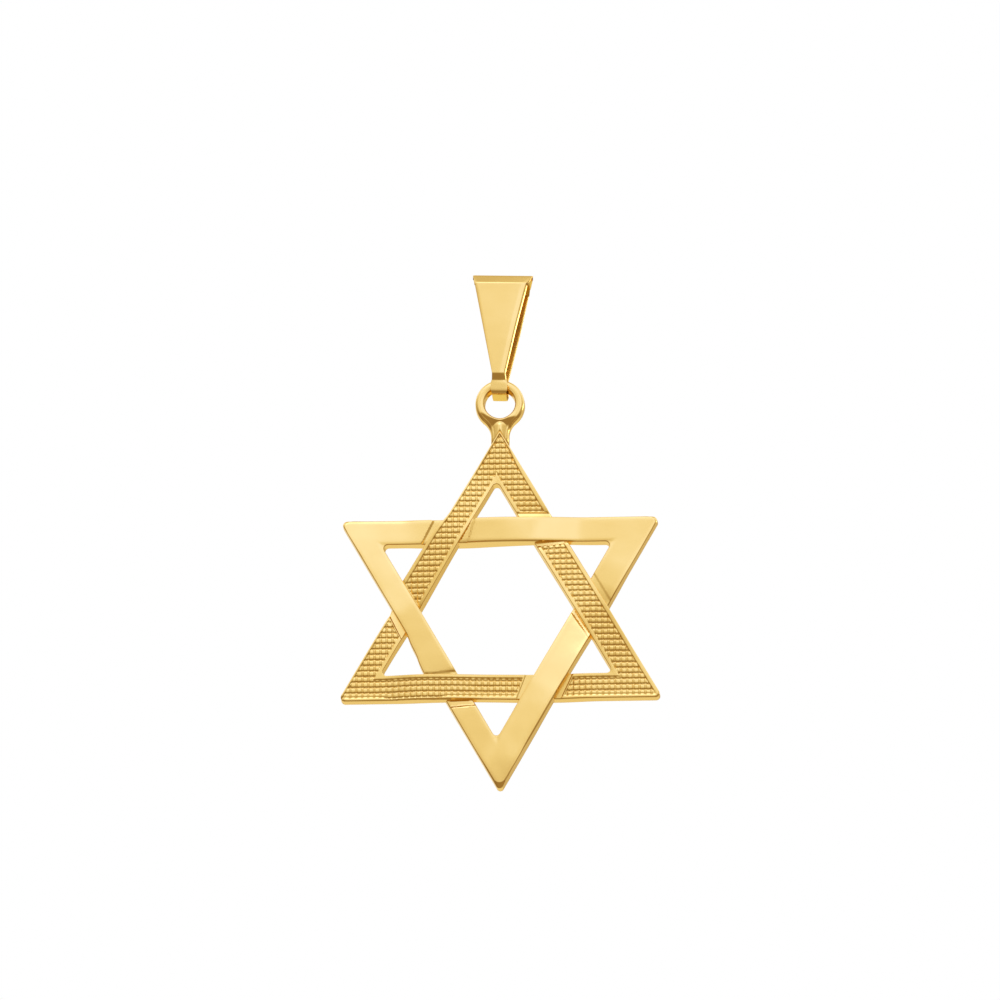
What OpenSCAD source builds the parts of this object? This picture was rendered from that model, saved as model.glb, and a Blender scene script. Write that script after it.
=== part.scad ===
// Star of David pendant: two interlaced triangles cast in one with a neck and a hanging ring,
// and a tapered strip bail folded through the ring. Millimetres, +Z up, the front faces -Y.
// The origin is the chain's seat, the middle of the bail's inner top, and the star hangs below it.

/* [Star] */
// Side of each triangle, before its corners are rounded
star_side = 26; // [21:0.5:34]
// Thickness of the bars at the corners of the star
bar_t = 1.2; // [1:0.05:1.8]
// Width of the two level bars
level_bar_w = 2.1; // [1.6:0.05:2.6]
// Width of the bars on the left
left_bar_w = 1.95; // [1.6:0.05:2.6]
// Width of the bars on the right
right_bar_w = 2.4; // [1.6:0.05:2.8]
// Radius of the star's points
point_r = 0.35; // [0.2:0.05:0.6]
// Radius of the corners inside each triangle
opening_r = 0.3; // [0.15:0.05:0.5]

/* [Weave] */
// How far the front of a bar stands up where it passes over another
over_rise = 0.45; // [0.2:0.05:0.8]
// How far the back of a bar is hollowed where it passes over another
over_hollow = 0.25; // [0.1:0.05:0.4]
// How far the front of a bar dips where it passes under another
under_dip = 0.45; // [0.2:0.05:0.6]
// How far the back of a bar swells where it passes under another
under_swell = 0.35; // [0.1:0.05:0.6]
// Length of a crossing along the bar, between the slopes that run out from it
crossing_l = 3.2; // [2:0.2:4]
// Width of the slope beside the bar that passes over
dip_slope = 0.5; // [0.3:0.05:0.8]

/* [Ring and neck] */
// Diameter of the ring's hole
ring_hole_d = 2.45; // [2.2:0.05:4]
// Width of the ring's metal, from its hole to its outside
ring_wire_w = 0.8; // [0.6:0.05:1.2]
// Depth of the ring's metal, from front to back
ring_depth = 1.1; // [0.9:0.05:1.6]
// Space between the ring and the sharp point of the upright triangle
ring_stand = 0.275; // [0.1:0.025:1]
// Width of the neck at its waist
neck_w = 1.5; // [1:0.05:1.8]
// Depth of the neck
neck_depth = 1.1; // [0.8:0.05:1.2]
// Radius of the hollow on each side of the neck, below the ring
neck_hollow_r = 1.75; // [1.6:0.05:2.6]

/* [Bail] */
// Height from the middle of the ring's wire up to the chain's seat
bail_h = 8.75; // [7:0.25:12]
// Thickness of the bail's strip
bail_t = 0.4; // [0.3:0.05:0.6]
// Width of the bail at its top
bail_top_w = 4.95; // [4:0.05:6]
// Width of the bail at its waist, above the fold that holds the ring
bail_waist_w = 1.2; // [0.9:0.05:1.4]
// Width of the fold that holds the ring
bail_fold_w = 1.35; // [1:0.05:1.5]
// Space for the chain inside the bail, from front to back
chain_space = 2.5; // [2:0.1:3.5]
// Inner radius of the bends at the bail's top
bail_bend_r = 0.45; // [0.3:0.05:0.8]
// Space for the chain at the waist, from front to back
waist_space = 2.1; // [1.7:0.1:2.4]
// Height of the waist above the middle of the ring's wire
waist_h = 0.6; // [0.4:0.05:0.9]
// Space between the ring's metal and the fold
fold_gap = 0.25; // [0.2:0.05:0.4]
// Lean of the bail as it hangs, its top to the right of its fold, in degrees
bail_lean = 2; // [0:0.5:3]

/* [Hidden] */
$fn = 96;
GOLD = [0.94, 0.79, 0.43];
POLISHED_GOLD = [0.96, 0.83, 0.50];
// A cut runs this far past what it cuts
past = 1;
// The slope of a dip runs in this far under the bar above it
tuck = 0.05;
// A bend is shaped this much wider than its bar on each side, and the bar's own outline trims it
side_spare = 0.4;
// Each hollow of the neck leaves the ring at this small angle
neck_meet_angle = 20;
// Each hollow is sunk this far into the straight post below it, so that the two cross cleanly
hollow_sink = 0.02;
// The foot of the neck's post runs this far on inside the upright triangle
foot_tuck = 0.2;
// A round corner of a triangle is drawn in steps of this angle
corner_step = 12;
// Seen from the front, the directions that the sides of each triangle face
UPRIGHT_SIDES = [-90, 30, 150];
INVERTED_SIDES = [90, 210, 330];
// Distance from the star's centre to the outer side of a bar
inradius = star_side / (2 * sqrt(3));
ring_hole_r = ring_hole_d / 2;
ring_r = ring_hole_r + ring_wire_w;
// The middle of the ring's wire in the fold: wire_x and wire_z in the part, fold_mid_z in the upright bail
fold_mid_z = -bail_h;
wire_x = fold_mid_z * sin(bail_lean);
wire_z = fold_mid_z * cos(bail_lean);
ring_z = wire_z - ring_hole_r - ring_wire_w / 2;
ring_foot_z = ring_z - ring_r;
// The sharp point of the upright triangle, twice its inradius above the star's centre
tip_z = ring_foot_z - ring_stand;
star_z = tip_z - 2 * inradius;
fold_r = ring_depth / 2 + fold_gap;

// Width of the bar on the side that faces direction a
function bar_w(a) = cos(a) > 0.1 ? right_bar_w : cos(a) < -0.1 ? left_bar_w : level_bar_w;

// The unit vector in direction a
function facing(a) = [cos(a), sin(a)];

// The point where two lines meet, each given by the direction it faces and its distance from the centre
function meet(a, da, b, db) =
    [da * sin(b) - db * sin(a), db * cos(a) - da * cos(b)] / sin(b - a);

// The point where the middles of two bars cross
function crossing(a, b) = meet(a, inradius - bar_w(a) / 2, b, inradius - bar_w(b) / 2);

// A flat triangle with round corners, its sides facing the directions in sides at distances dists
module rounded_triangle(sides, dists, r) {
    polygon([for (i = [0:2]) let (j = (i + 1) % 3, corner = meet(sides[i], dists[i] - r, sides[j], dists[j] - r))
        for (turn = [0:corner_step:120]) corner + r * facing(sides[i] + turn)]);
}

// The outline of one triangle's bars, lying flat with their plain back at zero, taller than the bars are
module frame_space(sides) {
    low = -under_swell - past;
    translate([0, 0, low]) linear_extrude(bar_t + over_rise + past - low) difference() {
        rounded_triangle(sides, [for (a = sides) inradius], point_r);
        rounded_triangle(sides, [for (a = sides) inradius - bar_w(a)], opening_r);
    }
}

// A bend in a face of the bar that faces direction a, where it crosses the bar that faces direction b.
// The face goes from its plain height to the height peak, and back halfway to the bar's other crossing.
// The bend is a solid, closed at the height floor, which is added to the bar or cut from it.
module bend(a, b, plain, peak, floor) {
    half_flat = crossing_l / 2;
    half_all = norm(crossing(a, a - 60) - crossing(a, a + 60)) / 2 - tuck;
    bend_w = bar_w(a) + 2 * side_spare;
    translate(crossing(a, b)) rotate([0, 0, a - 90])
        translate([0, bend_w / 2, 0]) rotate([90, 0, 0]) linear_extrude(bend_w)
            polygon([[-half_all, floor], [half_all, floor], [half_all, plain],
                     [half_flat, peak], [-half_flat, peak], [-half_all, plain]]);
}

// The cut that lets a bar that faces direction a pass under the bar that faces direction b
module dip(a, b) {
    reach = 1.2 * bar_w(a);
    floor_w = bar_w(b) / 2 - tuck;
    top_w = bar_w(b) / 2 + dip_slope;
    spread = past * (top_w - floor_w) / under_dip;
    translate(crossing(a, b)) rotate([0, 0, b - 90])
        translate([reach, 0, bar_t]) rotate([90, 0, -90]) linear_extrude(2 * reach)
            polygon([[-floor_w, -under_dip], [floor_w, -under_dip],
                     [top_w + spread, past], [-top_w - spread, past]]);
}

// One triangle of bars, each passing over the other triangle at one crossing and under it at the next
module woven_triangle(sides) {
    difference() {
        intersection() {
            frame_space(sides);
            union() {
                translate([-star_side, -star_side, 0]) cube([2 * star_side, 2 * star_side, bar_t]);
                for (a = sides) {
                    bend(a, a - 60, bar_t, bar_t + over_rise, bar_t / 2);
                    bend(a, a + 60, 0, -under_swell, bar_t / 2);
                }
            }
        }
        for (a = sides) {
            bend(a, a - 60, 0, over_hollow, -past);
            dip(a, a + 60);
        }
    }
}

// The ring, a flattened round wire bent to a circle
module hanging_ring() {
    mid_r = ring_hole_r + ring_wire_w / 2;
    side = ring_depth / 2 - ring_wire_w / 2;
    translate([0, 0, ring_z]) rotate([90, 0, 0]) {
        rotate_extrude() translate([mid_r, 0]) square([ring_wire_w, 2 * side], center = true);
        for (depth = [-side, side]) rotate_extrude() translate([mid_r, depth]) circle(ring_wire_w / 2);
    }
}

// The neck, a short post which carries the star from the ring. It stands in the point of the upright
// triangle, and spreads into the ring with a hollow on each side.
module neck() {
    hollow_x = neck_w / 2 - hollow_sink + neck_hollow_r;
    reach = sqrt(pow(ring_r, 2) + pow(neck_hollow_r, 2) + 2 * ring_r * neck_hollow_r * cos(neck_meet_angle));
    waist_z = ring_z - sqrt(pow(reach, 2) - pow(hollow_x, 2));
    foot_z = tip_z - neck_w / 2 / tan(30) - foot_tuck;
    top_z = ring_foot_z + ring_wire_w / 2;
    translate([-neck_w / 2, -neck_depth / 2, foot_z]) cube([neck_w, neck_depth, top_z - foot_z]);
    difference() {
        translate([-hollow_x / 2, -neck_depth / 2, waist_z]) cube([hollow_x, neck_depth, top_z - waist_z]);
        for (x = [-hollow_x, hollow_x]) translate([x, 0, waist_z]) rotate([90, 0, 0])
            cylinder(r = neck_hollow_r, h = neck_depth + 2 * past, center = true);
    }
}

// The star, its neck and its ring, which are one casting
module star() {
    color(GOLD) translate([wire_x, 0, 0]) union() {
        translate([0, bar_t / 2, star_z]) rotate([90, 0, 0]) {
            woven_triangle(UPRIGHT_SIDES);
            woven_triangle(INVERTED_SIDES);
        }
        neck();
        hanging_ring();
    }
}

// The corner b of the path a, b, c, moved e to its right, so that the moved path stays parallel
function moved_corner(a, b, c, e) =
    let (u = (b - a) / norm(b - a), v = (c - b) / norm(c - b),
         m = [u[1], -u[0]], n = [v[1], -v[0]])
    b + e * (m + n) / (1 + m * n);

// One side of the space inside the bail, from the fold up to the bend at the top
BAIL_SIDE = [[fold_r, fold_mid_z], [fold_r, fold_mid_z + 0.05], [waist_space / 2, fold_mid_z + waist_h],
             [chain_space / 2, -bail_bend_r], [chain_space / 2, 0]];

// The bail seen from its side, grown by e outside the space that the chain and the ring lie in
module bail_loop(e) {
    last = len(BAIL_SIDE) - 1;
    seat_x = chain_space / 2 - bail_bend_r;
    path = [[fold_r + e, fold_mid_z],
            for (i = [1:last - 1]) moved_corner(BAIL_SIDE[i - 1], BAIL_SIDE[i], BAIL_SIDE[i + 1], e),
            [seat_x, e]];
    polygon([for (p = path) p, for (i = [len(path) - 1:-1:0]) [-path[i][0], path[i][1]]]);
    translate([0, fold_mid_z]) circle(fold_r + e);
    for (x = [-seat_x, seat_x]) translate([x, -bail_bend_r]) circle(bail_bend_r + e);
}

// The bail seen from the front
module bail_face() {
    fold_z = fold_mid_z - fold_r - bail_t;
    half = [[0.8 * bail_fold_w / 2, fold_z - past], [0.8 * bail_fold_w / 2, fold_z],
            [bail_fold_w / 2, fold_mid_z - fold_r], [bail_fold_w / 2, fold_mid_z],
            [bail_waist_w / 2, fold_mid_z + 0.1], [bail_waist_w / 2, fold_mid_z + waist_h],
            [bail_top_w / 2, bail_t], [bail_top_w / 2, bail_t + past]];
    polygon([for (p = half) p, for (i = [len(half) - 1:-1:0]) [-half[i][0], half[i][1]]]);
}

// The bail, one strip bent round through the ring and soldered to itself. It leans about the chain's seat.
module bail() {
    color(POLISHED_GOLD) rotate([0, bail_lean, 0]) intersection() {
        rotate([90, 0, 90]) linear_extrude(bail_top_w + 2 * past, center = true) difference() {
            bail_loop(bail_t);
            bail_loop(0);
        }
        rotate([90, 0, 0]) linear_extrude(chain_space + 2 * bail_t + 2 * past, center = true) bail_face();
    }
}

star();
bail();
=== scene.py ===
import math
import bpy
import numpy as np
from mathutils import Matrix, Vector, geometry


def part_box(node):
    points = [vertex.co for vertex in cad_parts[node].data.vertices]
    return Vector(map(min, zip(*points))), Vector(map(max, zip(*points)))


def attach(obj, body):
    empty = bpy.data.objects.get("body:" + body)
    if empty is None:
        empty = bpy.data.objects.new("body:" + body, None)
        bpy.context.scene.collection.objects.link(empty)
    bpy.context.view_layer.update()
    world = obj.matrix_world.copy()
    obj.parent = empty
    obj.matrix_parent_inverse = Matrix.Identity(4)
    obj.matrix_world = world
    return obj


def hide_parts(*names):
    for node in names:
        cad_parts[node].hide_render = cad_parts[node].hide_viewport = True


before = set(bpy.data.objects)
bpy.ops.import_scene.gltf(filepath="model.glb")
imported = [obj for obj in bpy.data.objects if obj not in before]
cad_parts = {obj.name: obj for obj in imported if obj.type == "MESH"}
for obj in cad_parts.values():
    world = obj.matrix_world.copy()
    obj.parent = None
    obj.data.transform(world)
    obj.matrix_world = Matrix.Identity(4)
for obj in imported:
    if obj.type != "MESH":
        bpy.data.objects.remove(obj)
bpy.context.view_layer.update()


# The camera
# The photograph was taken from a little below and to the right, through a long lens, with the pendant
# hanging on white. Places and sizes are in millimetres until they reach Blender, which works in metres.
mm = 0.001
camera_place = (16.4, -273.15, -99.9)
camera_target = (-0.31, 0, -18.475)
camera = bpy.data.objects.new("camera", bpy.data.cameras.new("camera"))
camera.data.sensor_width = 36
camera.data.lens = 127.0
camera.data.clip_start = 0.01
camera.location = Vector(camera_place) * mm
camera.rotation_euler = (Vector(camera_target) - Vector(camera_place)).to_track_quat("-Z", "Y").to_euler()
bpy.context.scene.collection.objects.link(camera)
bpy.context.scene.camera = camera


# The polished triangle
# Cast in 18 carat gold with the rest of the star and pointing down. Each of its bars passes over one bar
# of the grained triangle and under the next. Its face is polished on a soft wheel, which rounds the
# edges and wears the points back the most.
star_side = 26.0
inradius = star_side / (2 * math.sqrt(3))
bar_t = 1.2
level_bar_w = 2.1
left_bar_w = 1.95
right_bar_w = 2.4
point_r = 0.35
opening_r = 0.3
star_low, star_high = (np.array(corner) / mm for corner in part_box("star"))
star_x = (star_low[0] + star_high[0]) / 2
star_z = star_low[2] + 2 * inradius - point_r
plain_back_y = bar_t / 2
back_edge_r = 0.12
# The walls slope in towards the face, so that the wax comes out of its mould
draft = 0.03
edge_band_w = 0.14
inverted_sides = (90, 210, 330)
# How far the front of a bar stands out from plain, at places along it from its middle, travelled
# counter-clockwise. A bar passes over at about -3.7 and under at about 3.7.
plain_weave = ((-9.5, 0), (-6, .25), (-3.7, .42), (-1.2, .3), (1.5, .12), (2.8, -.05), (3.7, -.35),
               (5.6, -.08), (7.5, 0))
weaves = {
    90: ((-9.5, 0), (-6.6, .02), (-4.6, .22), (-2.6, .47), (-.8, .53), (.8, .47), (2.5, .3), (3.7, 0),
         (5.3, 0), (9, 0)),
    210: ((-9.5, 0), (-6, .25), (-3.9, .42), (-2.8, .43), (-.8, .4), (2, .34), (2.7, .24), (3.7, -.25),
          (4.8, -.07), (8.5, 0)),
    330: ((-9.5, 0), (-7, .06), (-5, .12), (-3.7, .14), (-1.2, .06), (1.5, -.12), (3.7, -.26),
          (5.2, -.12), (8, 0)),
    -90: ((-9.5, 0), (-6.4, .42), (-3.7, .3), (-1, -.03), (2.4, -.28), (3.7, -.3), (4.4, -.27),
          (5.3, -.17), (7.5, 0)),
    30: plain_weave,
    150: plain_weave,
}
back_weave = ((-8, 0), (-5.2, .22), (-3.7, .25), (-2.2, .22), (0, 0), (2.2, -.3), (3.7, -.35), (5.2, -.3),
              (8, 0))
# Width of the ledge on a bar beside the bar that passes over it: before it and after it, and in each
# case at the bar's inner edge and at its outer edge
ledges = {
    90: ((.55, .06), (.63, .78)),
    210: ((.2, .05), (.35, .5)),
    330: ((.3, .2), (.4, .4)),
    -90: ((.55, .2), (.22, .4)),
    30: ((.32, .02), (.38, .38)),
    150: ((.04, .04), (.5, .35)),
}
# How deep the step down to each ledge is, before that bar and after it
ledge_step = {90: (0.1, 0.12), 210: (0.025, 0.12), 330: (0.05, 0.03), -90: (0.04, 0.04), 30: (0.05, 0.07),
              150: (0.02, 0.08)}
ledge_step_w = 0.09
# How much each millimetre across a polished bar stands out more than the last, from its inner edge to its
# outer one, at places along it: the polisher's hand has leaned on some stretches more than on others
lean_start_w = 0.7
leans = {
    90: ((-12, 0), (-7, -.01), (-4, .01), (-2, -.02), (0, .02), (2, .03), (5, 0), (6.5, -.02), (8, -.08),
         (11, -.06)),
    210: ((-12, .12), (-9, .1), (-6, 0), (4, -.02), (6, -.03), (8.5, -.04), (11, -.04)),
    330: ((-13, .1), (-10, .18), (-6, .2), (-3, .15), (1.5, .1), (4, 0), (6, .05), (11, 0)),
}
# How far a bar's outer edge stands out from its line, at places along it: it has flowed thicker there
bulges = {
    150: ((-5, 0), (-3.1, .28), (-1.3, .38), (.6, .43), (3.2, .43), (4.8, 0)),
    210: ((-2, 0), (-1, .14), (0, .21), (.9, .36), (2.4, .4), (4.2, 0)),
}
# How far a ledge falls towards the bar beside it; one rises instead, where it was run full of metal
ledge_ramp = {90: (.02, .02), 210: (.02, .02), 330: (.02, .02), -90: (.02, .01), 30: (.02, -.1),
              150: (.02, .02)}
# Under the bar that passes over, a bar's face drops out of sight
hidden_start = 0.12
hidden_drop = 0.3
# A point this far outside a bar's inner edge still counts as on the bar
edge_slack = 0.01
# A ledge's lines run between these shares of the bar's width, with a point at every step
lip_shares = (0.07, 0.93)
lip_step = 0.06
# How the faces are filled: the least depth of a line in the metal, the room round the loops and lines as
# shares of the grid's step, and the depth under which a triangle is a sliver
line_margin = 0.03
loop_room = 0.45
line_room = 0.4
sliver_depth = 0.00001
back_grid = ((0.3, 0.3), (0, 0))
# The rows of points from the face over its edge, down the wall and round to the back
band_shares = (0.6, 0.2, 0)
face_edge_turns = (84, 72, 54, 36, 18, 0)
wall_shares = (0.1, 0.9)
back_edge_turns = (0, 30, 60)
# How many points run along each side of a triangle and round each corner
outer_counts = (330, 14)
inner_counts = (240, 9)


def facing(degrees):
    """The direction that many degrees counter-clockwise from the right."""
    return np.array([math.cos(math.radians(degrees)), math.sin(math.radians(degrees))])


def along(degrees):
    """The direction along a side that faces degrees, a quarter turn on from it."""
    return np.array([-math.sin(math.radians(degrees)), math.cos(math.radians(degrees))])


def bar_w(side):
    across = math.cos(math.radians(side))
    return right_bar_w if across > 0.1 else left_bar_w if across < -0.1 else level_bar_w


def meet(side, distance, other, other_distance):
    """The point where two lines meet, each given by the direction it faces and its distance."""
    return np.linalg.solve([facing(side), facing(other)], [distance, other_distance])


def on_bar(p, side):
    return p @ facing(side) > inradius - bar_w(side) - edge_slack


def smooth(x):
    x = np.clip(x, 0, 1)
    return x * x * (3 - 2 * x)


def flowing(s, knots):
    """A smooth curve through the knots, level at both ends."""
    x, y = np.array(knots, float).T
    slope = np.zeros(len(x))
    slope[1:-1] = (y[2:] - y[:-2]) / (x[2:] - x[:-2])
    s = np.clip(s, x[0], x[-1])
    k = np.clip(np.searchsorted(x, s) - 1, 0, len(x) - 2)
    gap = x[k + 1] - x[k]
    f = (s - x[k]) / gap
    return ((1 + 2 * f) * (1 - f) ** 2 * y[k] + f * f * (3 - 2 * f) * y[k + 1]
            + gap * (f * (1 - f) ** 2 * slope[k] - f * f * (1 - f) * slope[k + 1]))


def bulge(p, side):
    return flowing(p @ along(side), bulges[side]) if side in bulges else 0


def corner_centres(sides, distances, radii):
    return [meet(sides[k], distances[k] - radii[k], sides[(k + 1) % 3], distances[(k + 1) % 3] - radii[k])
            for k in range(3)]


def outline(sides, distances, radii, straight_n, corner_n, bulging=False):
    """Points round a triangle with round corners, the same number for any distances and radii."""
    centres = corner_centres(sides, distances, radii)
    points = []
    for k, side in enumerate(sides):
        start, end = centres[k - 1] @ along(side), centres[k] @ along(side)
        for s in np.linspace(start, end, straight_n, endpoint=False):
            point = distances[k] * facing(side) + s * along(side)
            points.append(point + bulge(point, side) * facing(side) if bulging else point)
        for turn in np.linspace(0, 120, corner_n, endpoint=False):
            points.append(centres[k] + radii[k] * facing(side + turn))
    return np.array(points)


def depth_inside(p, sides, distances, radii, bulging=False):
    """How far each point lies inside a triangle with round corners."""
    depth = np.min([d + (bulge(p, side) if bulging else 0) - p @ facing(side)
                    for side, d in zip(sides, distances)], axis=0)
    for k, centre in enumerate(corner_centres(sides, distances, radii)):
        off = p - centre
        in_corner = (off @ along(sides[k]) > 0) & (off @ along(sides[(k + 1) % 3]) < 0)
        depth = np.where(in_corner, radii[k] - np.linalg.norm(off, axis=1), depth)
    return depth


def edge_distances(p, sides):
    """Each point's distance from the inner edges and from the outer edges, with sharp corners."""
    inner = np.max([p @ facing(a) - inradius + bar_w(a) for a in sides], axis=0)
    outer = np.min([inradius - p @ facing(a) for a in sides], axis=0)
    return inner, outer


def beside_over_bar(p, side):
    """For points on the bar that faces side: how far each lies past the ledge's lip, on the side before
    the bar that passes over and on the side after it, with the ledge's own width there."""
    over = side + 60
    share = np.clip((p @ facing(side) - inradius + bar_w(side)) / bar_w(side), 0, 1)
    gaps = (inradius - bar_w(over) - p @ facing(over), p @ facing(over) - inradius)
    widths = [inner + (outer - inner) * share for inner, outer in ledges[side]]
    return gaps, widths


def weave(p, sides):
    """The height of the front of a triangle's bars over their plain back, before its edges are rounded."""
    height = np.full(len(p), bar_t)
    for side in sides:
        s = p @ along(side)
        here = on_bar(p, side)
        near = here & (s > 0)
        gaps, widths = beside_over_bar(p, side)
        before = gaps[0] > gaps[1]
        gap, width = np.where(before, gaps[0], gaps[1]), np.where(before, widths[0], widths[1])
        step = np.where(before, *ledge_step[side]) * smooth((width + ledge_step_w - gap) / ledge_step_w)
        ramp = np.where(before, *ledge_ramp[side]) * np.clip(1 - gap / width, 0, 1)
        drop = np.where(gap > -hidden_start, step + ramp, hidden_drop)
        # A ledge is level along its bar, as high as the bar is at its lip
        past_lip = np.where(near, np.clip(width - gap, 0, width + hidden_start), 0) / facing(30)[0]
        rise = flowing(s + np.where(before, -past_lip, past_lip), weaves[side])
        height += np.where(here, rise - np.where(near, drop, 0), 0)
    return height


def woven_back(p, sides):
    height = np.zeros(len(p))
    for side in sides:
        height += np.where(on_bar(p, side), flowing(p @ along(side), back_weave), 0)
    return height


def ledge_lips(sides):
    """The lines along the top and the foot of each ledge's step."""
    lines = []
    for side in sides:
        over = side + 60
        for k, (inner, outer) in enumerate(ledges[side]):
            for past in (0, ledge_step_w):
                ends = []
                for share, width in zip(lip_shares, (inner, outer)):
                    reach = width + past
                    q_over = inradius - bar_w(over) - reach if k == 0 else inradius + reach
                    ends.append(meet(side, inradius - bar_w(side) * (1 - share), over, q_over))
                n = max(int(np.linalg.norm(ends[1] - ends[0]) / lip_step), 4)
                lines.append(ends[0] + (ends[1] - ends[0]) * np.linspace(0, 1, n)[:, None])
    return lines


def parts_inside(lines, inside, margin):
    """The stretches of the lines that lie inside by the margin or more."""
    parts = []
    for line in lines:
        within = inside(line) > margin
        cuts = np.flatnonzero(within[1:] != within[:-1]) + 1
        parts += [part for part, used in zip(np.split(line, cuts), np.split(within, cuts))
                  if used[0] and len(part) > 1]
    return parts


def fill(loops, lines, grid_step, grid_start, inside):
    """Triangles that fill the metal between two loops, with a point at every grid_step."""
    lines = parts_inside(lines, inside, line_margin)
    points = [*loops, *lines]
    starts = np.cumsum([0] + [len(p) for p in points])
    edges = []
    for k, part in enumerate(points):
        ids = list(range(starts[k], starts[k + 1]))
        edges += list(zip(ids, ids[1:]))
        if k < len(loops):
            edges.append((ids[-1], ids[0]))
    fixed = np.concatenate(points)
    low, high = fixed.min(0), fixed.max(0)
    axes = [grid_start[k] + grid_step[k] * np.arange(math.floor((low[k] - grid_start[k]) / grid_step[k]),
                                                     math.ceil((high[k] - grid_start[k]) / grid_step[k]) + 1)
            for k in range(2)]
    grid = np.stack(np.meshgrid(*axes), -1).reshape(-1, 2)
    grid = grid[inside(grid) > loop_room * grid_step[0]]
    for line in lines:
        run = line[-1] - line[0]
        length = np.linalg.norm(run)
        s = np.clip((grid - line[0]) @ run / length ** 2, 0, 1)
        off = np.linalg.norm(grid - line[0] - s[:, None] * run, axis=1)
        grid = grid[off > line_room * grid_step[0]]
    every = np.concatenate([fixed, grid])
    found = geometry.delaunay_2d_cdt([Vector(p) for p in every], edges, [], 0, 1e-6)
    made = np.array([tuple(v) for v in found[0]])
    triangles = np.array(found[2])
    # Left out are also the slivers that rounding makes along the straight stretches of the loops
    keep = inside(made[triangles].mean(axis=1)) > sliver_depth
    home = {}
    for new, old in enumerate(found[3]):
        for k in old:
            home[k] = new
    order = [home[k] for k in range(len(fixed))]
    return made, triangles[keep], [np.array(order[starts[k]:starts[k + 1]]) for k in range(len(loops))]


def add_piece(name, points, faces):
    """A mesh object in metres from points in millimetres, with smooth shading."""
    mesh = bpy.data.meshes.new(name)
    mesh.from_pydata((np.asarray(points) * mm).tolist(), [], [list(map(int, face)) for face in faces])
    mesh.shade_smooth()
    mesh.update()
    piece = bpy.data.objects.new(name, mesh)
    bpy.context.scene.collection.objects.link(piece)
    return piece


def star_point(p, height):
    return np.column_stack([star_x + p[:, 0], plain_back_y - height, star_z + p[:, 1]])


def cast_plate(name, outline_at, depth_at, lines, front_height, back_height, grid, edge_r, edge_drop):
    """A closed flat casting with one opening: front, rounded edges, walls and back. outline_at gives the
    outer or inner outline at an inset into the metal, and at a share from 0 at the wall to 1 at the face.
    edge_r holds the outer and the inner edge's radius. At a point of an edge, edge_drop gives how far the
    edge falls, and how flat its fall is, from 0, round, to 1."""
    rings = ("outer", "inner")
    back_r = (back_edge_r, back_edge_r)
    band_r = [draft + r + edge_band_w for r in edge_r]
    front, front_faces, front_loops = fill([outline_at(*pair, 1) for pair in zip(rings, band_r)], lines,
                                           *grid, lambda p: depth_at(p, band_r, 1))
    back, back_faces, back_loops = fill([outline_at(*pair, 0) for pair in zip(rings, back_r)], [],
                                        *back_grid, lambda p: depth_at(p, back_r, 0))
    front_h, back_h = front_height(front), back_height(back)
    points = [star_point(front, front_h), star_point(back, back_h)]
    faces = [front_faces, back_faces[:, ::-1] + len(front)]
    count = len(front) + len(back)
    for k, which in enumerate(rings):
        n = len(front_loops[k])
        low_h = back_h[back_loops[k]]
        made = []
        for share in band_shares:
            row = outline_at(which, draft + edge_r[k] + edge_band_w * share, 1)
            top_h = front_height(row)
            made.append(star_point(row, top_h))
        # The last of these rows is where the edge starts
        drop, flat = edge_drop(row)
        for turn in face_edge_turns:
            c, s = facing(turn)
            row = outline_at(which, draft + edge_r[k] * (1 - c), 1 - c)
            made.append(star_point(row, top_h - drop * (1 - s + (c - 1 + s) * flat)))
        wall_top, wall_foot = top_h - drop, low_h + back_edge_r
        for share in wall_shares:
            made.append(star_point(outline_at(which, draft * (1 - share), 0),
                                   wall_top + (wall_foot - wall_top) * share))
        for turn in back_edge_turns:
            c, s = facing(turn)
            row = outline_at(which, back_edge_r * (1 - c), 0)
            made.append(star_point(row, low_h + back_edge_r * (1 - s)))
        points += made
        between = [np.arange(n) + count + n * i for i in range(len(made))]
        rows = [front_loops[k], *between, back_loops[k] + len(front)]
        count += n * len(made)
        for a, b in zip(rows, rows[1:]):
            quads = np.column_stack([a, b, np.roll(b, -1), np.roll(a, -1)])
            faces.append(quads if which == "outer" else quads[:, ::-1])
    return add_piece(name, np.concatenate(points), [f for group in faces for f in group])


def triangle_plate(name, sides, front_height, grid, edge_r, edge_drop, face_radii, wall_radii):
    """One triangle of the star. Its points may be rounder at the face than at the wall."""
    def corner_radii(share):
        return [r + (f - r) * share for r, f in zip(wall_radii, face_radii)]

    def outline_at(which, inset, share):
        if which == "outer":
            return outline(sides, [inradius - inset] * 3, corner_radii(share), *outer_counts, True)
        return outline(sides, [inradius - bar_w(a) + inset for a in sides], [opening_r + inset] * 3,
                       *inner_counts)

    def depth_at(p, insets, share):
        from_wall, from_opening = insets
        outer = depth_inside(p, sides, [inradius - from_wall] * 3, corner_radii(share), True)
        inner = depth_inside(p, sides, [inradius - bar_w(a) + from_opening for a in sides],
                             [opening_r + from_opening] * 3)
        return np.minimum(outer, -inner)

    return cast_plate(name, outline_at, depth_at, ledge_lips(sides), front_height,
                      lambda p: woven_back(p, sides), grid, edge_r, edge_drop)


# The polished face falls away softly towards its edges, except the outer right one, which has a slight lip
opening_fall = 0.03
opening_fall_w = 0.3
edge_fall = {90: 0.03, 210: 0.02, 330: -0.03}
edge_fall_w = 0.35


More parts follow.
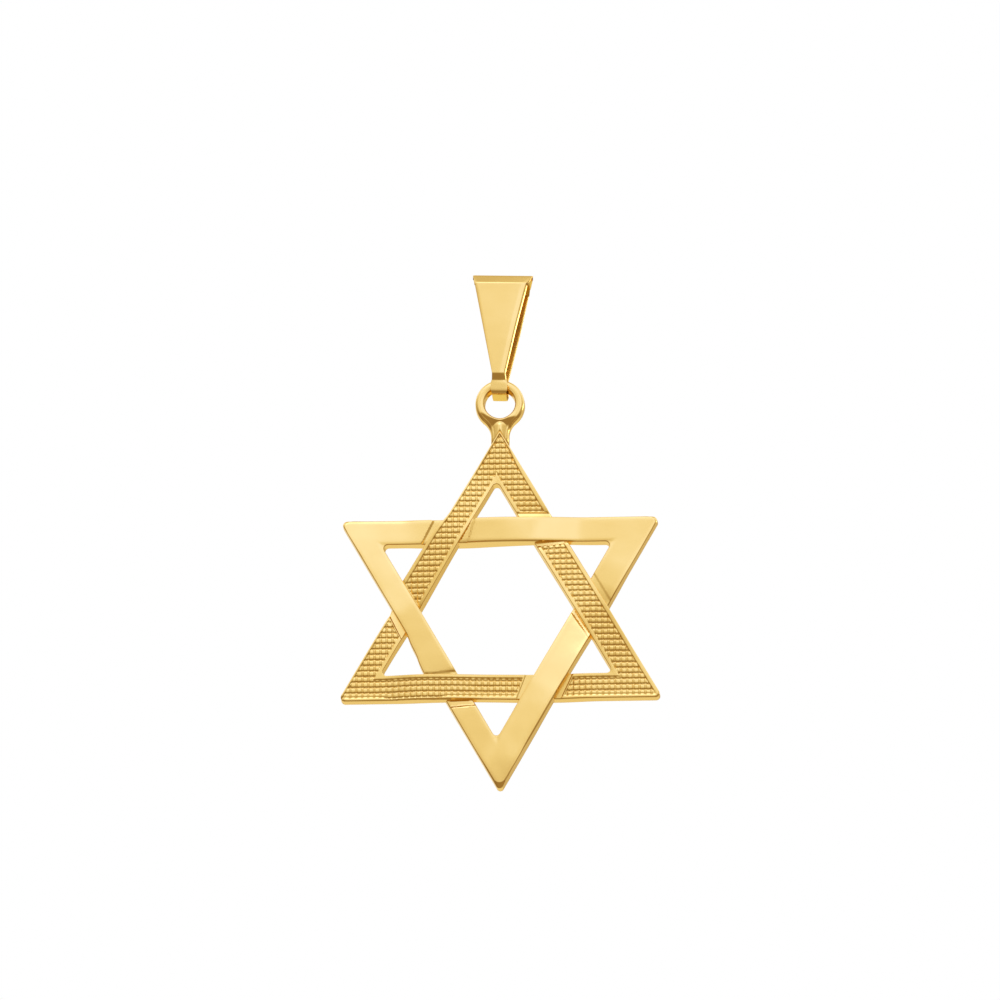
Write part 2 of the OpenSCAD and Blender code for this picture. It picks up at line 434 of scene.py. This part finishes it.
def polished_height(p):
    inner, _ = edge_distances(p, inverted_sides)
    height = weave(p, inverted_sides)
    height -= opening_fall * np.clip(1 - (inner - draft) / opening_fall_w, 0, 1) ** 2
    for side in inverted_sides:
        from_edge = inradius + bulge(p, side) - p @ facing(side) - draft
        height -= edge_fall[side] * np.clip(1 - from_edge / edge_fall_w, 0, 1) ** 2
        across = np.clip(p @ facing(side) - inradius + bar_w(side) + lean_start_w, 0, None)
        across = np.where(across < 2 * lean_start_w, across ** 2 / 4 / lean_start_w, across - lean_start_w)
        height += flowing(p @ along(side), leans[side]) * across
    return height


# The stretches of edges that are dressed to a bevel instead of rounded, by side: the edge's distance in
# from the side's line, and how far it is bevelled at places along it
polished_bevels = {
    90: (level_bar_w, ((-6.2, 0), (-5.2, 1), (-2.5, .9), (2.4, .5), (3.2, 0))),
    330: (0, ((-9.5, 0), (-8, .9), (-3.4, .9), (-2, 0))),
}
# A point this near to an edge's line belongs to that edge
bevel_reach = 0.4


def bevel_share(p, stretches):
    share = np.zeros(len(p))
    for side, (inset, stretch) in stretches.items():
        on_edge = np.abs(inradius - p @ facing(side) - inset) < bevel_reach
        share = np.where(on_edge, flowing(p @ along(side), stretch), share)
    return share


# How far the edges fall, and how much further on a bevel and at the points, which are worn down the most.
# The wear starts at a distance from the star's centre, and the lowest point is worn to a flat.
polished_edge_r = (0.1, 0.08)
polished_edge_fall = 0.09
polished_bevel_fall = 0.1
point_wear = 0.17
point_wear_start = 13.6
point_wear_w = 0.5
flat_start = 12.2
flat_w = 1.2
polished_grid = ((0.11, 0.11), (0, 0))
polished_face_radii = (0.45, 0.5, 0.45)
polished_wall_radii = (point_r, 0.3, point_r)


def polished_edge_drop(p):
    worn = smooth((np.linalg.norm(p, axis=1) - point_wear_start) / point_wear_w)
    lowest = smooth((-p[:, 1] - flat_start) / flat_w)
    bevel = bevel_share(p, polished_bevels)
    drop = polished_edge_fall + point_wear * worn + polished_bevel_fall * bevel
    return drop, np.maximum(lowest, bevel)


polished_triangle = triangle_plate("polished_triangle", inverted_sides, polished_height, polished_grid,
                                   polished_edge_r, polished_edge_drop, polished_face_radii,
                                   polished_wall_radii)


class Signal:
    """A number that changes over a surface. Arithmetic on it adds the finish's Math nodes."""

    def __init__(self, finish, socket):
        self.finish = finish
        self.socket = socket

    def math(self, operation, *values):
        return self.finish.add("ShaderNodeMath", {"operation": operation}, dict(enumerate(values)))

    def __add__(self, other):
        return self.math("ADD", self, other)

    __radd__ = __add__

    def __mul__(self, other):
        return self.math("MULTIPLY", self, other)

    __rmul__ = __mul__

    def __sub__(self, other):
        return self.math("SUBTRACT", self, other)

    def __rsub__(self, other):
        return self.math("SUBTRACT", other, self)


class Finish:
    """The node tree of a finish, or of the studio's light."""

    def __init__(self, owner):
        owner.use_nodes = True
        self.owner = owner
        self.tree = owner.node_tree
        self.tree.nodes.clear()

    def add(self, kind, settings=None, inputs=None, out=0):
        """Any node, from its type, its settings and the values or links of its sockets."""
        node = self.tree.nodes.new(kind)
        for name, value in (settings or {}).items():
            if name == "stops":
                ramp = node.color_ramp.elements
                while len(ramp) < len(value):
                    ramp.new(0.5)
                for stop, (place, color) in zip(ramp, value):
                    stop.position = place
                    stop.color = (*color, 1)
            else:
                setattr(node, name, value)
        for name, value in (inputs or {}).items():
            if isinstance(value, Signal):
                self.tree.links.new(value.socket, node.inputs[name])
            else:
                node.inputs[name].default_value = value
        return Signal(self, node.outputs[out]) if len(node.outputs) else node


def gold_finish(name, pale, deep, roughness, marks):
    """Polished yellow gold: soft clouds of colour, and fine wheel marks that marks makes deeper."""
    finish = Finish(bpy.data.materials.new(name))
    place = finish.add("ShaderNodeTexCoord", out="Object")
    clouds = finish.add("ShaderNodeTexNoise", {"noise_dimensions": "3D"},
                        {"Vector": place, "Scale": 260.0, "Detail": 2.0, "Roughness": 0.5})
    color = finish.add("ShaderNodeMix", {"data_type": "RGBA"},
                       {0: clouds, 6: (*pale, 1), 7: (*deep, 1)}, out=2)
    stretched = finish.add("ShaderNodeMapping", None, {"Vector": place, "Scale": (1, 1, 0.12)})
    hairlines = finish.add("ShaderNodeTexNoise", None,
                           {"Vector": stretched, "Scale": 9000.0, "Detail": 3.0, "Roughness": 0.6})
    ripples = finish.add("ShaderNodeTexNoise", None,
                         {"Vector": place, "Scale": 420.0, "Detail": 1.0})
    dents = finish.add("ShaderNodeTexNoise", None,
                       {"Vector": place, "Scale": 2400.0, "Detail": 2.0})
    relief = ripples * 3.0 + hairlines * (0.12 * marks) + dents * (0.25 * marks)
    bumped = finish.add("ShaderNodeBump", None, {"Height": relief, "Distance": 0.00001, "Strength": 1.0})
    # Gold stays warm at a grazing angle
    shader = finish.add("ShaderNodeBsdfPrincipled", None, {
        "Base Color": color, "Metallic": 1.0, "Roughness": roughness + hairlines * 0.06 + clouds * 0.04,
        "Specular Tint": (1, 0.88, 0.62, 1), "Normal": bumped})
    finish.add("ShaderNodeOutputMaterial", None, {"Surface": shader})
    return finish.owner


polished_gold = gold_finish("polished_gold", (0.98, 0.715, 0.30), (0.95, 0.665, 0.245), 0.10, 1.0)
polished_triangle.data.materials.append(polished_gold)
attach(polished_triangle, "star")
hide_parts("star")


# The grained triangle
# Cast in one with the polished triangle, pointing up and woven with it. Its gold face is struck with a
# square grain of small round nubs, in rows across the star, inside a plain rim along the edges.
upright_sides = (-90, 30, 150)
nub_pitch = np.array([0.48, 0.45])
nub_start = np.array([-0.18, 0.154])
row_groove = 0.12
column_groove = 0.1
scallop = 0.016
pillow = 0.03
inner_rim_w = 0.3
# The plain rim's width along the outer edges, at places along the bar. On a part of the lowest bar it is
# nearly gone.
outer_rims = {
    -90: ((-11.5, .27), (-9.3, .25), (-8.3, .03), (-5.4, .03), (-4, .27), (12, .27)),
    30: ((-12, .34), (9.5, .34), (12, .14)),
    150: ((-12, .17), (12, .17)),
}
bulge_rim_share = 0.4
rim_slope_w = 0.06
# The groove at the rim's foot, and how much deeper it gets between two heights near the top point
rim_groove_h = 0.02
rim_groove_w = 0.06
apex_groove_h = 0.08
apex_groove_v = (11, 12.5)
# The rim's width beside each ledge, before the bar that passes over and after it
end_rim_w = {-90: (0.14, 0.14), 30: (0.06, 0.14), 150: (0, 0.14)}
grain_sink = 0.02
nub_n = 80
nub_shift = np.random.default_rng(7).uniform(-1, 1, (2, nub_n, nub_n))
# How far a nub's sides and its top stray, and how narrow the grooves between nubs are
nub_jitter = 0.02
nub_rise = 0.008
groove_power = 7
points_per_nub = 10


def grain(p):
    """The depth of the grain's grooves at each point, with each nub a little unlike the next."""
    column, row = ((p - nub_start) / nub_pitch).T
    row = row + scallop / nub_pitch[1] * np.cos(2 * math.pi * column)
    cell = (np.round(column).astype(int) % nub_n, np.round(row).astype(int) % nub_n)
    across = 2 * np.abs(column - np.round(column) + nub_jitter * nub_shift[0][cell])
    up = 2 * np.abs(row - np.round(row) + nub_jitter * nub_shift[1][cell])
    rows = np.clip(up, 0, 1) ** groove_power
    columns = np.clip(across, 0, 1) ** groove_power
    return (row_groove * rows + column_groove * columns * (1 - rows) + pillow * (across ** 2 + up ** 2) / 2
            + nub_rise * nub_shift[0][cell])


def grained_height(p):
    inner, _ = edge_distances(p, upright_sides)
    into_field = inner - inner_rim_w
    for side in upright_sides:
        outer_edge = inradius + (1 - bulge_rim_share) * bulge(p, side)
        rim_w = flowing(p @ along(side), outer_rims[side])
        into_field = np.minimum(into_field, outer_edge - p @ facing(side) - rim_w)
        gaps, widths = beside_over_bar(p, side)
        near = on_bar(p, side) & (p @ along(side) > 0)
        before, after = (gaps[k] - widths[k] - end_rim_w[side][k] for k in range(2))
        ends = np.where(gaps[0] > 0, before, after)
        into_field = np.where(near, np.minimum(into_field, ends), into_field)
    field = smooth(into_field / rim_slope_w)
    start, end = apex_groove_v
    groove = rim_groove_h + apex_groove_h * smooth((p[:, 1] - start) / (end - start))
    rim_groove = groove * np.exp(-((into_field - rim_slope_w) / rim_groove_w) ** 2)
    return weave(p, upright_sides) - field * (grain(p) + grain_sink) - rim_groove


grained_bevels = {-90: (0, ((-11.5, 0), (-9, .4), (-6, 1), (-2.6, 1), (-1.2, .1), (11, 0)))}
# How far the outer and the inner edges fall, and how much further on the bevel
grained_edge_r = (0.1, 0.06)
grained_edge_falls = (0.1, 0.06)
grained_bevel_fall = 0.12
outer_edge_reach = 0.5
grained_grid = (nub_pitch / points_per_nub, nub_start)
# The top point is sharp, inside the neck
grained_radii = (point_r, 0.06, point_r)


def grained_edge_drop(p):
    _, outer = edge_distances(p, upright_sides)
    bevel = bevel_share(p, grained_bevels)
    return np.where(outer < outer_edge_reach, *grained_edge_falls) + grained_bevel_fall * bevel, bevel


grained_triangle = triangle_plate("grained_triangle", upright_sides, grained_height, grained_grid,
                                  grained_edge_r, grained_edge_drop, grained_radii, grained_radii)
grained_gold = gold_finish("grained_gold", (0.98, 0.72, 0.30), (0.94, 0.64, 0.21), 0.14, 1.5)
grained_triangle.data.materials.append(grained_gold)
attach(grained_triangle, "star")
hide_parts("star")


# The ring and its neck
# A round ring of flattened gold wire stands on the upright triangle's point, cast or soldered to it. Under
# the hole its front is filed away in two flat facets, down to the thinner neck, with a rounded rib left
# between them.
ring_hole_r = 1.225
ring_wire_w = 0.8
ring_depth = 1.1
ring_stand = 0.275
neck_w = 1.5
neck_h = 0.85
waist_drop = 2.72
tip_v = 2 * inradius
ring_r = ring_hole_r + ring_wire_w
ring_v = tip_v + ring_stand + ring_r
waist_v = ring_v - waist_drop
foot_v = tip_v - 1.45
ring_front_h = plain_back_y + ring_depth / 2
ring_back_h = plain_back_y - ring_depth / 2
# The hollow on each side of the neck runs smoothly into the ring and into the neck's straight foot
hollow_r = ((neck_w / 2) ** 2 + waist_drop ** 2 - ring_r ** 2) / (2 * (ring_r - neck_w / 2))
hollow_u = neck_w / 2 + hollow_r
meet_turn = math.degrees(math.atan2(hollow_u, waist_drop))
# Each facet starts at a line, given by the direction that it faces and its distance from the ring's
# centre, and falls away from it
facet_slope = 0.44
facets = ((245.5, 1.35), (272, 1.21))
rib_half_w = 0.56
rib_h = 1.08
rib_top_v = ring_v - 1.32
rib_end_l = 0.6
rib_sink = 0.02
# How much lower the ring's front is at its edges than in the middle of its wire
ring_crown = 0.09
facet_half_l = 1.35
facet_n = 91
facet_gap = 0.02
# The groove round the triangle's point, where it stands out of the neck
point_groove = 0.03
point_groove_w = 0.08
# The rib ends inside the point
point_sink = 0.35
point_sink_w = 0.15
ring_grid = ((0.035, 0.035), (0, 0))
# The radius and the fall of the outer edge and of the hole's
ring_edge_r = (0.26, 0.16)
ring_edge_falls = (0.3, 0.16)
ring_edge_reach = 0.3
# How many points run round the hole, up the neck's foot, round each hollow, round the ring and along half of
# the foot's end
hole_n = 60
foot_n = 14
hollow_n = 14
ring_n = 90
half_end_n = 6


def arc(centre, r, start, end, n):
    return [np.array(centre) + r * facing(turn) for turn in np.linspace(start, end, n)]


def ring_outline_at(which, inset, share):
    if which == "inner":
        return np.array(arc((0, ring_v), ring_hole_r + inset, 0, 360, hole_n + 1)[:-1])
    half = neck_w / 2 - inset
    foot = foot_v + inset
    right = [(half, foot + (waist_v - foot) * k / foot_n) for k in range(foot_n)]
    right += arc((hollow_u, waist_v), hollow_r + inset, 180, 90 + meet_turn, hollow_n)
    round_part = arc((0, ring_v), ring_r - inset, meet_turn - 90, 270 - meet_turn, ring_n)
    left = [(-x, y) for x, y in right[::-1]]
    end = [(half * (k / half_end_n - 1), foot) for k in range(1, 2 * half_end_n)]
    return np.array([*right, *round_part[1:-1], *left, *end])


def ring_depths(p):
    """How far each point lies from the outer edge and from the hole, and in from the neck's foot."""
    u, v = np.abs(p[:, 0]), p[:, 1] - ring_v
    from_centre = np.hypot(u, v)
    in_neck = np.degrees(np.arctan2(u, -v)) < meet_turn
    to_hollow = np.hypot(hollow_u - u, np.maximum(p[:, 1] - waist_v, 0)) - hollow_r
    return np.where(in_neck, to_hollow, ring_r - from_centre), from_centre - ring_hole_r, p[:, 1] - foot_v


def ring_height(p):
    outer, inner, _ = ring_depths(p)
    crown = ring_crown * np.clip(1 - np.minimum(outer, inner) / (ring_wire_w / 2), 0, 1) ** 2
    height = ring_front_h - crown
    for turn, start in facets:
        past = (p - (0, ring_v)) @ facing(turn) - start
        height = np.minimum(height, np.maximum(ring_front_h - facet_slope * past, neck_h))
    across = np.clip(np.abs(p[:, 0]) / rib_half_w, 0, 1)
    end = np.clip(1 - (rib_top_v - p[:, 1]) / rib_end_l, 0, 1)
    dome = np.clip(1 - across ** 2 - end ** 2, 0, 1)
    rib = neck_h - rib_sink + (rib_h - neck_h + rib_sink) * dome
    height = np.where(p[:, 1] < rib_top_v, np.maximum(height, rib), height)
    from_point = np.max([p @ facing(side) - inradius for side in (30, 150)], axis=0)
    height = height - point_groove * np.clip(1 - from_point / point_groove_w, 0, 1)
    return height - point_sink * smooth(-from_point / point_sink_w)


def facet_lines():
    """The lines at which the facets start, each until it nears the other facet."""
    lines = []
    for turn, start in facets:
        ends = [start * facing(turn) + s * along(turn) + (0, ring_v) for s in (-facet_half_l, facet_half_l)]
        line = ends[0] + (ends[1] - ends[0]) * np.linspace(0, 1, facet_n)[:, None]
        below_other = [(line - (0, ring_v)) @ facing(t) - d for t, d in facets if t != turn][0]
        lines.append(line[below_other < -facet_gap])
    return lines


def ring_depth_at(p, insets, share):
    from_outer, from_hole = insets
    return np.min(np.array(ring_depths(p)) - np.array([[from_outer], [from_hole], [from_outer]]), 0)


def ring_back(p):
    return np.full(len(p), ring_back_h)


def ring_edge_drop(p):
    return np.where(ring_depths(p)[0] < ring_edge_reach, *ring_edge_falls), 0


ring_and_neck = cast_plate("ring_and_neck", ring_outline_at, ring_depth_at, facet_lines(), ring_height,
                           ring_back, ring_grid, ring_edge_r, ring_edge_drop)
ring_and_neck.data.materials.append(polished_gold)
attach(ring_and_neck, "star")
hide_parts("star")


# The bail
# A tapered strip of polished gold sheet, bent over at the top with a flat along each bend, folded
# through the ring and soldered to itself. Its edges are bevelled, the right one the most.
bail_h = 8.75
bail_t = 0.4
bail_top_w = 4.95
bail_waist_w = 1.2
bail_fold_w = 1.35
bail_lean = 2
fold_z = -bail_h - 1.05
waist_z = -bail_h + 0.65
top_bend_z = -0.38
# The space between the leaves at the top
bail_space = 2.5
# Half of the strip's outer line seen from the side, as places behind or before the middle and heights,
# with the radius of each bend
bail_side = (
    ((0, fold_z), 0),
    ((1.12, fold_z), 0.38),
    ((1.22, -bail_h + 0.1), 0.05),
    ((1.45, waist_z), 0.05),
    ((1.6, -4.6), 3.4),
    ((1.65, top_bend_z), 0.05),
    ((1.25, bail_t), 0.12),
    ((0, bail_t), 0),
)
# Half of its width, by height
bail_heights = (fold_z, -bail_h - 0.65, -bail_h, -bail_h + 0.12, waist_z, bail_t)
bail_half_widths = (0.42 * bail_fold_w, *[bail_fold_w / 2] * 2, *[bail_waist_w / 2] * 2, bail_top_w / 2)
# How much narrower the back leaf is on each side, by height
back_trim = ((-bail_h, 0), (-4, 0.09), (top_bend_z, 0.25), (bail_t, 0.335))
# How much narrower the front leaf is on its right, by height
front_trim = ((-bail_h, 0), (waist_z, 0.09), (-4, 0.2), (top_bend_z, 0.22), (bail_t, 0))
# The bevel's inner and outer parts on the right edge and on the left one, each with its width and how far
# it falls. Both run out at the bends.
bevels = {1: ((0.25, 0.05), (0.2, 0.3)), -1: ((0.15, 0.05), (0.06, 0.08))}
bevel_heights = (-bail_h, -bail_h + 0.1, -bail_h + 0.9, -1.2, top_bend_z, 0.35)
bevel_shares = {1: (0, 0.5, 0.8, 1, 0.8, 0), -1: (0, 0, 0.4, 1, 0.8, 0)}
# The radius of the inner edges, and the steps between points along the strip and round its bends
inner_edge_r = 0.03
strip_step = 0.15
bend_step = 0.05
fold_slack = 0.01


def rounded_path(corners):
    """Points along a line with its corners rounded, and no more than a strip_step apart."""
    points = [np.array(corners[0][0], float)]
    for (before, _), (corner, r), (after, _) in zip(corners, corners[1:], corners[2:]):
        before, corner, after = (np.array(c, float) for c in (before, corner, after))
        back, ahead = before - corner, after - corner
        start = corner + back / np.linalg.norm(back) * r
        end = corner + ahead / np.linalg.norm(ahead) * r
        points += [(1 - f) ** 2 * start + 2 * f * (1 - f) * corner + f * f * end
                   for f in np.linspace(0, 1, max(4, round(r / bend_step)))]
    points.append(np.array(corners[-1][0], float))
    path = [points[0]]
    for a, b in zip(points, points[1:]):
        n = max(1, math.ceil(np.linalg.norm(b - a) / strip_step))
        path += [a + (b - a) * k / n for k in range(1, n + 1)]
    return np.array(path)


def bail_mesh():
    half = rounded_path(bail_side)
    outer = np.concatenate([half, half[1:-1][::-1] * (-1, 1)])
    ahead, behind = np.roll(outer, -1, axis=0) - outer, outer - np.roll(outer, 1, axis=0)
    ahead /= np.linalg.norm(ahead, axis=1)[:, None]
    behind /= np.linalg.norm(behind, axis=1)[:, None]
    run = ahead + behind
    run /= np.linalg.norm(run, axis=1)[:, None]
    normal = np.column_stack([run[:, 1], -run[:, 0]])
    stretch = 1 / (normal * np.column_stack([ahead[:, 1], -ahead[:, 0]])).sum(1)
    half_w = np.interp(outer[:, 1], bail_heights, bail_half_widths)
    behind_share = np.clip(0.5 - outer[:, 0] / bail_space, 0, 1)
    half_w -= behind_share * np.interp(outer[:, 1], *zip(*back_trim))
    right_trim = (1 - behind_share) * np.interp(outer[:, 1], *zip(*front_trim))
    # Each row of the section: how far in from the strip's edge, and how deep under its outer face. The
    # parts of both that follow the bevel are scaled with it. Rows close together keep a corner sharp.
    rows = {}
    for side in (1, -1):
        (face_w, face_fall), (edge_w, edge_fall) = bevels[side]
        fall = face_fall + edge_fall
        rows[side] = [
            (0.1, 0, bail_t, 0), (inner_edge_r, 0, bail_t, 0), (0, 0, bail_t - inner_edge_r, 0),
            (0, 0, 0.02, fall), (0, edge_w * 0.08, 0, fall * 0.98), (0, edge_w * 0.92, 0, face_fall * 1.04),
            (0, edge_w, 0, face_fall), (0, edge_w + face_w * 0.08, 0, face_fall * 0.92),
            (0, edge_w + face_w * 0.94, 0.018, face_fall * 0.06), (0.02, edge_w + face_w, 0.016, 0),
            (0.17, edge_w + face_w, 0, 0)]
    rings = []
    for side in (1, -1):
        bevel = np.interp(outer[:, 1], bevel_heights, bevel_shares[side])
        for inset, inset_share, depth, depth_share in (rows[1] if side == 1 else rows[-1][::-1]):
            x = side * (half_w - inset - inset_share * bevel) - (right_trim if side == 1 else 0)
            yz = outer - normal * ((depth + depth_share * bevel) * stretch)[:, None]
            rings.append(np.column_stack([x, -yz[:, 0], yz[:, 1]]))
    points = np.stack(rings, axis=1)
    n, m = points.shape[:2]
    c, s = facing(bail_lean)
    points = points.reshape(-1, 3) @ np.array([[c, 0, s], [0, 1, 0], [-s, 0, c]]).T
    ids = np.arange(n * m).reshape(n, m)
    a, b = ids, np.roll(ids, -1, axis=0)
    quads = np.stack([b, np.roll(b, -1, axis=1), np.roll(a, -1, axis=1), a], axis=-1).reshape(-1, 4)
    strip = add_piece("bail_strip", points, quads)
    # The last row joins the first across the strip's inner face, which the polishing wheel doesn't reach.
    # It doesn't reach the underside of the fold either. Both take a satin finish, whose deeper amber colour
    # is
    # painted shade: it stands for gold reflected in gold between the leaves and under the fold.
    for face in strip.data.polygons:
        underside = outer[face.index // m, 1] < fold_z + fold_slack
        face.material_index = 1 if underside or face.index % m in (0, m - 2, m - 1) else 0
    return strip


bail_strip = bail_mesh()
bail_strip.data.materials.append(polished_gold)
# The satin finish's deeper, more orange colour is painted shade, for the amber of gold reflecting gold on
# the inner face and under the fold
bail_strip.data.materials.append(gold_finish("satin_gold_with_painted_shade", (1.0, 0.72, 0.18), (1.0, 0.64, 0.12), 0.2, 0.1))
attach(bail_strip, "bail")
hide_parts("bail")


# The studio
# A pale floor, and a white tent all round. It is brightest above the lens, dimmer and warmer towards its
# foot, where the room shows under its hem, and a little darker overhead and at its front corners. A lamp
# stands at its right side.
floor_z = -160.0
bpy.ops.mesh.primitive_circle_add(vertices=96, radius=3, fill_type="NGON", location=(0, 0, floor_z * mm))
floor = bpy.context.object
floor.name = "floor"
paint = Finish(bpy.data.materials.new("floor_paint"))
paint.add("ShaderNodeOutputMaterial", None, {"Surface": paint.add("ShaderNodeBsdfPrincipled", None, {
    "Base Color": (0.86, 0.86, 0.85, 1), "Roughness": 0.8})})
floor.data.materials.append(paint.owner)
floor.visible_glossy = False

tent = Finish(bpy.data.worlds.new("tent"))
bpy.context.scene.world = tent.owner
direction = tent.add("ShaderNodeTexCoord", out="Generated")
parts = tent.add("ShaderNodeSeparateXYZ", None, {"Vector": direction})
right, back, up = (Signal(tent, parts.socket.node.outputs[k]) for k in range(3))


def tent_patch(azimuth, elevation, wide, soft):
    """1 inside a round patch of the tent round that direction, 0 outside it. 0, 0 is the lens's side."""
    c, s = facing(azimuth)
    level, height = facing(elevation)
    near = right * (s * level) + back * (-c * level) + up * height
    return tent.add("ShaderNodeMapRange", {"interpolation_type": "SMOOTHSTEP"}, {
        0: near, 1: math.cos(math.radians(wide + soft)), 2: math.cos(math.radians(max(wide - soft, 0)))})


# How bright the tent is, by elevation
tent_heights = (
    (-90, .42), (-60, .36), (-40, .31), (-28, .31), (-20, .34), (-10, .5), (0, .68), (8, .79),
    (12, .855), (16.6, .91), (22, .955), (30, 1), (45, 1), (60, .85), (75, .64))
by_height = tent.add("ShaderNodeValToRGB", {"stops": tuple(
    ((facing(elevation)[1] + 1) / 2, (bright, bright, bright)) for elevation, bright in tent_heights)},
    {"Fac": up * 0.5 + 0.5})
right_corner = tent_patch(56, 8, 26, 18)
left_corner = tent_patch(-58, 8, 26, 18)
behind = tent_patch(180, -5, 34, 16)
left_side = tent_patch(-98, 0, 26, 16)
right_light = tent_patch(14, 13, 8, 5)
right_behind = tent_patch(168, 8, 10, 6)
key_light = tent_patch(-8, 46, 10, 8)
lamp = tent_patch(104, 6, 7, 4)
# How much each patch darkens or brightens the tent
corner_shade = 0.25
left_shade = 0.3
right_glow = 0.12
behind_level = 0.82
right_behind_shade = 0.2
front = (by_height * (1 - corner_shade * right_corner) * (1 - corner_shade * left_corner)
         * (1 - left_shade * left_side) + right_glow * right_light)
level = front * (1 - behind) + behind_level * behind - right_behind_shade * right_behind
# The dimmer it is, the warmer
tent_light = tent.add("ShaderNodeValToRGB", {"stops": (
    (0, (0.07, 0.037, 0.011)), (0.15, (0.148, 0.085, 0.03)), (0.35, (0.274, 0.193, 0.089)),
    (0.65, (0.496, 0.444, 0.304)), (0.85, (0.679, 0.667, 0.556)), (0.92, (0.726, 0.741, 0.726)),
    (1, (0.79, 0.855, 1.04)))}, {"Fac": level})
tent_strength = 1.35
lamp_strength = 8.0
key_strength = 0.9
strength = tent_strength + lamp_strength * lamp + key_strength * key_light
reflected = tent.add("ShaderNodeBackground", None, {"Color": tent_light, "Strength": strength})
seen = tent.add("ShaderNodeBackground", None, {"Color": (1, 1, 1, 1), "Strength": 1.0})
looked_at = tent.add("ShaderNodeLightPath", out="Is Camera Ray")
tent.add("ShaderNodeOutputWorld", None, {"Surface": tent.add("ShaderNodeMixShader", None, {
    0: looked_at, 1: reflected, 2: seen})})
bpy.context.scene.view_settings.view_transform = "Standard"
